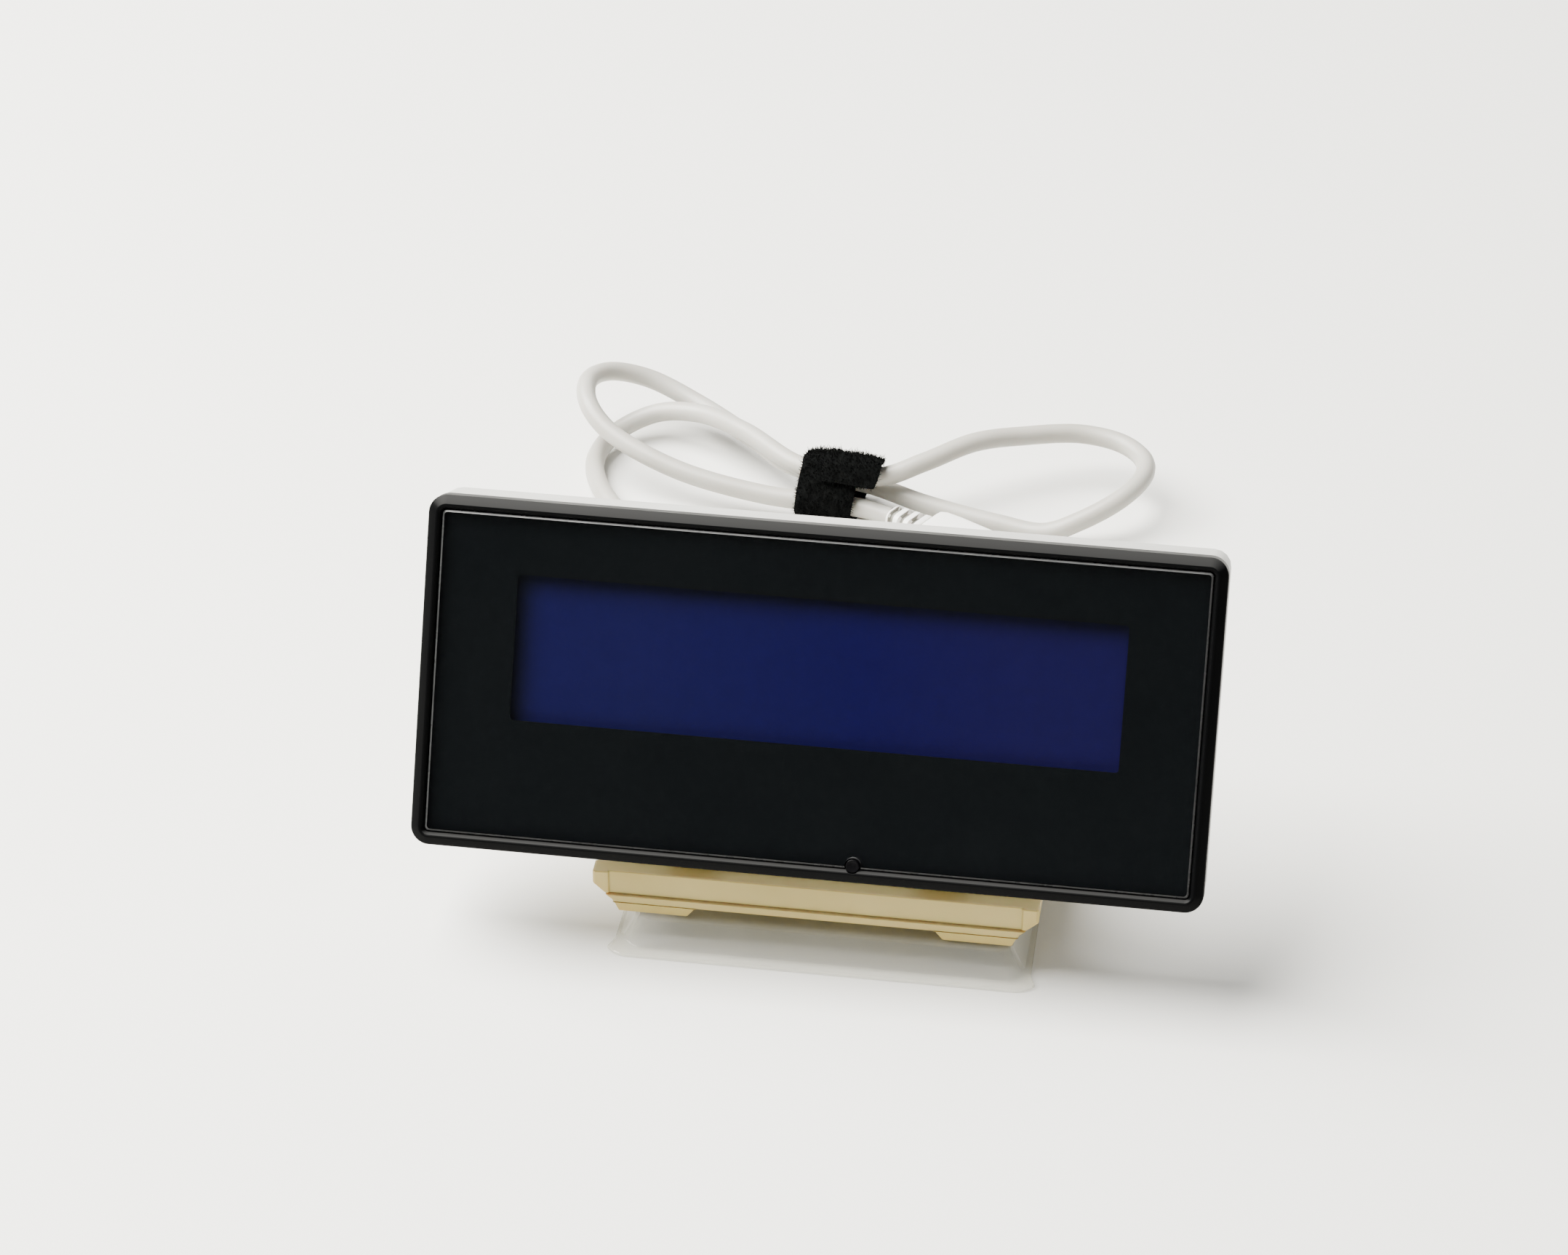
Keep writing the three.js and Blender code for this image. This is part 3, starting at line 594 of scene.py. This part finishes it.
lead = dress(make_lead(), LEAD_WHITE, "lead_white", "stand", "lead")
relief, overmould = make_plug()
dress(relief, PLUG_WHITE, "plug_white", "stand", "plug_relief")
# the slot cores get the darker colour: painted shade
mark(relief, PLUG_SLOT_SHADE, in_slot)
dress(overmould, PLUG_WHITE, "plug_white", "stand", "plug_body")
strap = dress(make_tie(), TIE_BLACK, "tie_black", "stand", "cable_tie")
pile = dress(make_pile(strap), TIE_BLACK, "tie_black", "stand")
gland = lathe("cable_gland_boot", [(x * MM, r * MM) for x, r in [
    (31, 0), (31, 2.5), (31.2, 2.7), (36.3, 2.7), (36.3, 4.3), (36.6, 4.6), (37.9, 4.6), (38.2, 4.4),
    (38.8, 3.75), (39.6, 3.6), (40.6, 3.52), (40.7, 3.1), (41.5, 3.1), (41.6, 3.48), (43, 3.4),
    (43.1, 3.0), (43.9, 3.0), (44, 3.36), (45.4, 3.3), (45.5, 2.95), (46.3, 2.95), (46.4, 3.25),
    (48.1, 3.15), (48.3, 3.0), (48.3, 0)]],
    Matrix.Translation((CORD_EXIT[0], 0, CORD_EXIT[2])) @ Matrix.Rotation(math.pi / 2, 4, "Z"))
dress(gland, PLUG_WHITE, "plug_white", "stand", "cable_gland")


# ---------- head ----------
def cut_round(obj, x, v, r, y0, y1):
    """Cuts a round hole through a head piece, from depth y0 to y1."""
    matrix = HEAD @ Matrix.Translation((x, 0, v)) @ Matrix.Rotation(math.pi / 2, 4, "Z")
    tool = lathe("tool", [(y0, 0), (y0, r), (y1, r), (y1, 0)], matrix, 40)
    change = obj.modifiers.new("hole", "BOOLEAN")
    change.object, change.solver = tool, "EXACT"
    bpy.context.view_layer.update()
    mesh = bpy.data.meshes.new_from_object(obj.evaluated_get(bpy.context.evaluated_depsgraph_get()))
    bpy.data.objects.remove(tool)
    obj.modifiers.clear()
    obj.data = mesh
    bm = bmesh.new()
    bm.from_mesh(mesh)
    finish_mesh(bm, mesh, 12)


front = loft("front_frame_moulding", [inset(s, d) for s, d in [
    (0, 6), (0, 1.75), (0.08, 1.45), (0.3, 1.2), (0.62, 0.98), (1.8, 0.2), (2.05, 0.07), (2.35, 0.03),
    (2.6, 0.1), (2.9, 0.42), (3.15, 0.95), (3.2, 1.2), (3.2, 2.7), (6, 2.7), (6, 6)]],
    ring=True, n=12, matrix=HEAD)
cut_round(front, LENS_X, LENS_V, LENS_R + FRAME_PLAY, -1 * MM, 7 * MM)
dress(front, FRAME_BLACK, "frame_black", "head", "front_frame")

window = loft("front_window_sheet", [inset(s, d) for s, d in [(4.0, 0.8), (3.6, 1.05), (3.55, 1.15),
                                                             (3.55, 2.4)]], n=6, matrix=HEAD)
cut_round(window, LENS_X, LENS_V, LENS_R + SHEET_PLAY, 0, 3 * MM)
dress(window, WINDOW_CLEAR, "window_smoked", "head", "front_window")
face_normal = HEAD.to_3x3() @ Vector((0, -1, 0))
# all but the flat front and back is polished edge, coloured paler as painted highlight
mark(window, WINDOW_EDGE, lambda polygon: abs(polygon.normal.dot(face_normal)) < 0.95)

mask = loft("window_back_print", [inset(3.9, d) for d in PRINT_DEPTHS] + [
    (VIEW_W / 2, VIEW_H / 2, 0.8 * MM, d * MM, 0, VIEW_V) for d in reversed(PRINT_DEPTHS)],
    ring=True, n=6, matrix=HEAD)
cut_round(mask, LENS_X, LENS_V, LENS_R + SHEET_PLAY, 0, 3 * MM)
dress(mask, MASK_PRINT, "mask_print", "head", "window_mask")

lens = lathe("status_lens_disc", [(y * MM, r * MM) for y, r in [
    (0.5, 0), (0.5, 0.9), (0.42, 1.2), (0.38, 1.35), (0.4, 1.5), (0.5, 1.6), (5.6, 1.6), (5.6, 0)]],
    HEAD @ Matrix.Translation((LENS_X, 0, LENS_V)) @ Matrix.Rotation(math.pi / 2, 4, "Z"), 40)
dress(lens, LENS_DARK, "lens_dark", "head", "status_lens")

cover = refined("rear_cover", 0.25 * MM)
dress(cover, COVER_WHITE, "cover_white", "head")

# ---------- stand ----------
base = refined("stand_base", 0.45 * MM, 3, seam=SEAM_Z)
dress(base, STAND_CREAM, "stand_cream", "stand")
tray = refined("stand_tray", 0.3 * MM, 2, seam=SEAM_Z)
dress(tray, STAND_CREAM, "stand_cream", "stand")


def make_riser():
    """Clear formed tray: rounded top edge, flared walls, and a rim narrower towards the back."""
    def section(a, b, r, z):
        return (a * MM, b * MM, r * MM, z * MM, RISER_X, 0.4 * MM)
    inner = [section(44.2, 34.0, 3.0, 7.0), section(44.9, 34.7, 3.3, 6.9), section(45.4, 35.2, 3.6, 6.3),
             section(47.9, 36.8, 4.2, 1.0), section(48.3, 37.1, 4.4, 0.35), section(48.9, 37.7, 4.6, 0.0)]
    outer = [section(52.8, 40.9, 6, 0.0), section(53, 41.1, 6, 0.2), section(53, 41.1, 6, 0.55),
             section(52.8, 40.9, 6, 0.75), section(50.2, 38.8, 5.4, 0.78), section(49.4, 38.1, 5.1, 1.0),
             section(48.8, 37.6, 4.9, 1.6), section(46.3, 36.0, 4.2, 7.0), section(46.0, 35.7, 4.0, 7.5),
             section(45.4, 35.1, 3.6, 7.75), section(44.6, 34.3, 3.2, 7.8)]
    sheet = loft("clear_riser_sheet", inner + outer, up="z", n=8)
    for v in sheet.data.vertices:
        back = min(1.0, max(0.0, (v.co.y - RISER_FRONT) / RISER_FADE))
        limit = RISER_HALF - RISER_TAPER * back
        v.co.x = min(RISER_X + limit, max(RISER_X - limit, v.co.x))
    return sheet


dress(make_riser(), CLEAR_PLASTIC, "clear_plastic", "stand", "clear_riser")

# ---------- carried-over CAD nodes ----------
FASTENERS = ("screw", "nut", "washer", "bracket")
CARRIED = {
    BEZEL_METAL: ["display_bezel"], DISPLAY_BLUE: ["display_glass"],
    BACKLIGHT: ["display_backlight"], CHASSIS_BLACK: ["display_chassis"],
    BOARD_GREEN: ["display_board", "main_board"],
    CHIP_BLACK: ["board_header", "controller_chip", "driver_chip"],
    SOCKET_WHITE: ["lead_socket", "plug_insulator"], PLUG_METAL: ["plug_shell"],
    PAD_RUBBER: [n for n in nodes if n.startswith("foot_pad")],
    STEEL: [n for n in nodes if n == "hinge_shaft" or any(word in n for word in FASTENERS)],
}
for material, names in CARRIED.items():
    for name in names:
        paint(nodes[name], material)


# ---------- floor, light ----------
def make_floor(half=4.0, drop=0.0002):
    mesh = bpy.data.meshes.new("floor")
    corners = [(-half, -half), (half, -half), (half, half), (-half, half)]
    mesh.from_pydata([(x, y, -drop) for x, y in corners], [], [(0, 1, 2, 3)])
    floor = place("floor", mesh)
    floor.data.materials.append(FLOOR_PALE)


def area_light(name, place_at, size, power, colour):
    """Square light that faces the object."""
    data = bpy.data.lights.new(name, "AREA")
    data.shape, data.size, data.energy, data.color = "SQUARE", size, power, colour
    light = bpy.data.objects.new(name, data)
    light.matrix_world = Matrix.Translation(place_at) @ \
        Vector(place_at).to_track_quat("Z", "Y").to_matrix().to_4x4()
    bpy.context.scene.collection.objects.link(light)


def make_world(low, high):
    """Soft surroundings: dim near the horizon, brighter overhead."""
    world = bpy.data.worlds.new("studio")
    bpy.context.scene.world = world
    world.use_nodes = True
    tree = world.node_tree
    split = tree.nodes.new("ShaderNodeSeparateXYZ")
    ramp = tree.nodes.new("ShaderNodeValToRGB")
    ramp.color_ramp.elements[0].position, ramp.color_ramp.elements[1].position = 0.35, 0.8
    ramp.color_ramp.elements[0].color = (low, low, low, 1)
    ramp.color_ramp.elements[1].color = (high, high, high, 1)
    tree.links.new(tree.nodes.new("ShaderNodeTexCoord").outputs["Generated"], split.inputs["Vector"])
    tree.links.new(split.outputs["Z"], ramp.inputs["Fac"])
    tree.links.new(ramp.outputs["Color"], tree.nodes["Background"].inputs["Color"])
    tree.nodes["Background"].inputs["Strength"].default_value = 1.0


make_floor()
make_world(low=0.15, high=0.6)
area_light("ceiling", place_at=(-0.95, 0.12, 1.4), size=1.5, power=208, colour=(1, 0.985, 0.935))
